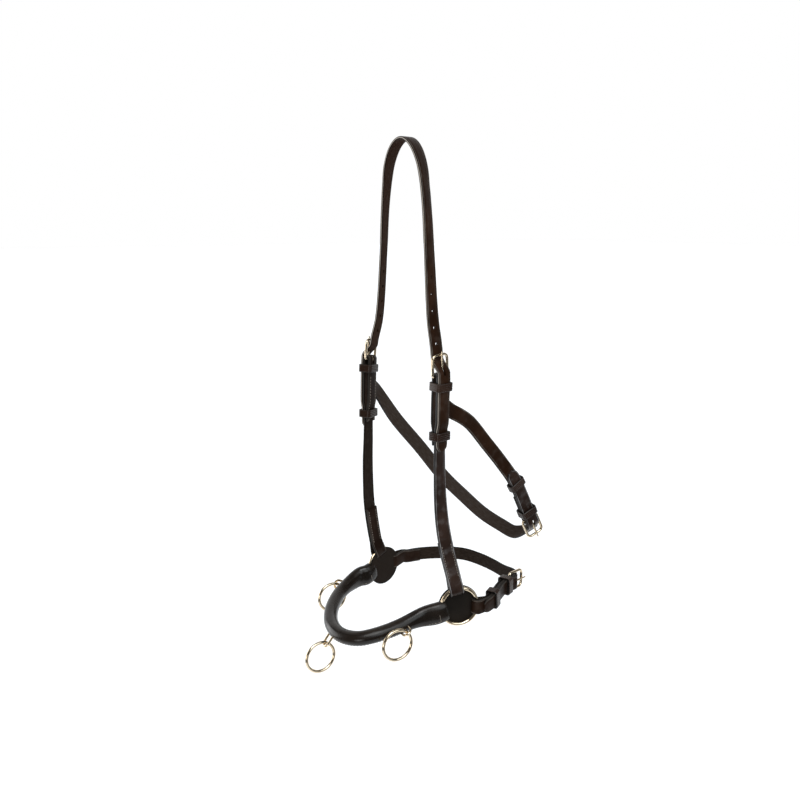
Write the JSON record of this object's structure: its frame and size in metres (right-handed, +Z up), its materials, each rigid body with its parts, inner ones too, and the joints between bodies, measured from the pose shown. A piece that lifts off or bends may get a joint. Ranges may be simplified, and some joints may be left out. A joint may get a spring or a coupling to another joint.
{
  "type": "lunging cavesson",
  "caption": "Dark brown leather lunging cavesson: rolled noseband with brass rings on wire eyes, side rings on leather safes, buckled cheeks, headpiece, jowl strap and chin strap.",
  "frame": {"origin": "underside of the headpiece on the middle plane, where it rests on the horse's poll", "axes": "+X forward along the horse's head, +Y to the horse's near (left) side, +Z up"},
  "size_m": [0.2866, 0.1809, 0.5834],
  "materials": {
    "leather_dark_brown": "satin, waxed bridle leather",
    "leather_rolled": "satin, rolled and stitched",
    "pale_brass": "polished",
    "core_cord": "matt cord, out of sight"
  },
  "bodies": {
    "harness": {"headpiece": "leather_dark_brown", "near_cheekpiece": "leather_dark_brown", "far_cheekpiece": "leather_dark_brown", "near_ring_safe": "leather_dark_brown", "far_ring_safe": "leather_dark_brown", "chin_buckle_strap": "leather_dark_brown", "chin_strap": "leather_dark_brown", "near_jowl_strap": "leather_dark_brown", "far_jowl_strap": "leather_dark_brown", "near_cheek_fixed_keeper": "leather_dark_brown", "far_cheek_fixed_keeper": "leather_dark_brown", "chin_fixed_keeper": "leather_dark_brown", "jowl_fixed_keeper": "leather_dark_brown", "noseband": "leather_rolled", "noseband_core": "core_cord", "near_cheek_buckle": "pale_brass", "far_cheek_buckle": "pale_brass", "chin_buckle": "pale_brass", "jowl_buckle": "pale_brass", "near_nose_eye": "pale_brass", "centre_nose_eye": "pale_brass", "far_nose_eye": "pale_brass"},
    "near_nose_ring_body": {"near_nose_ring": "pale_brass"},
    "centre_nose_ring_body": {"centre_nose_ring": "pale_brass"},
    "far_nose_ring_body": {"far_nose_ring": "pale_brass"},
    "near_side_ring_body": {"near_side_ring": "pale_brass"},
    "far_side_ring_body": {"far_side_ring": "pale_brass"},
    "near_cheek_tongue_body": {"near_cheek_tongue": "pale_brass"},
    "far_cheek_tongue_body": {"far_cheek_tongue": "pale_brass"},
    "chin_tongue_body": {"chin_tongue": "pale_brass"},
    "jowl_tongue_body": {"jowl_tongue": "pale_brass"},
    "near_cheek_running_keeper_body": {"near_cheek_running_keeper": "leather_dark_brown"},
    "far_cheek_running_keeper_body": {"far_cheek_running_keeper": "leather_dark_brown"},
    "chin_running_keeper_body": {"chin_running_keeper": "leather_dark_brown"},
    "jowl_running_keeper_body": {"jowl_running_keeper": "leather_dark_brown"}
  },
  "joints": [
    {"name": "near_nose_ring_swing", "type": "hinge", "parent": "harness", "child": "near_nose_ring_body", "pos_m": [0.04454, 0.0656, -0.52209], "axis": [0.7359, -0.1034, 0.6691], "range_deg": [-15, 110]},
    {"name": "centre_nose_ring_swing", "type": "hinge", "parent": "harness", "child": "centre_nose_ring_body", "pos_m": [0.10301, -0.00677, -0.54678], "axis": [0.8966, -0.0627, 0.4384], "range_deg": [-100, 92]},
    {"name": "far_nose_ring_swing", "type": "hinge", "parent": "harness", "child": "far_nose_ring_body", "pos_m": [0.04095, -0.0835, -0.51851], "axis": [0.9047, -0.1271, 0.4067], "range_deg": [-110, 44]},
    {"name": "near_side_ring_turn", "type": "hinge", "parent": "harness", "child": "near_side_ring_body", "pos_m": [-0.02, 0.076, -0.505], "axis": [0.3746, 0.9272, 0], "continuous": true},
    {"name": "far_side_ring_turn", "type": "hinge", "parent": "harness", "child": "far_side_ring_body", "pos_m": [-0.02, -0.076, -0.505], "axis": [0.1564, -0.9877, 0], "continuous": true},
    {"name": "near_cheek_tongue_lift", "type": "hinge", "parent": "harness", "child": "near_cheek_tongue_body", "pos_m": [0.00702, 0.07233, -0.24349], "axis": [-0.9928, -0.0871, 0.0822], "range_deg": [0, 6]},
    {"name": "far_cheek_tongue_lift", "type": "hinge", "parent": "harness", "child": "far_cheek_tongue_body", "pos_m": [-0.00148, -0.07189, -0.24385], "axis": [0.9005, 0.4217, 0.1066], "range_deg": [0, 6]},
    {"name": "chin_tongue_lift", "type": "hinge", "parent": "harness", "child": "chin_tongue_body", "pos_m": [-0.11002, 0.05898, -0.504], "axis": [0.0007, 0.0001, -1], "range_deg": [0, 6]},
    {"name": "jowl_tongue_lift", "type": "hinge", "parent": "harness", "child": "jowl_tongue_body", "pos_m": [-0.13905, 0.05928, -0.43016], "axis": [0.8852, -0.1825, -0.4279], "range_deg": [0, 6]},
    {"name": "near_cheek_running_keeper_slide", "type": "slide", "parent": "harness", "child": "near_cheek_running_keeper_body", "axis": [-0.0087, 0.0002, 1], "range_m": [-0.004, 0.004]},
    {"name": "far_cheek_running_keeper_slide", "type": "slide", "parent": "harness", "child": "far_cheek_running_keeper_body", "axis": [-0.0158, -0.0057, 0.9999], "range_m": [-0.004, 0.004]},
    {"name": "chin_running_keeper_slide", "type": "slide", "parent": "harness", "child": "chin_running_keeper_body", "axis": [-0.8972, -0.4109, 0.1617], "range_m": [-0.004, 0.004]},
    {"name": "jowl_running_keeper_slide", "type": "slide", "parent": "harness", "child": "jowl_running_keeper_body", "axis": [-0.5313, -0.0207, -0.8469], "range_m": [-0.004, 0.004]}
  ]
}
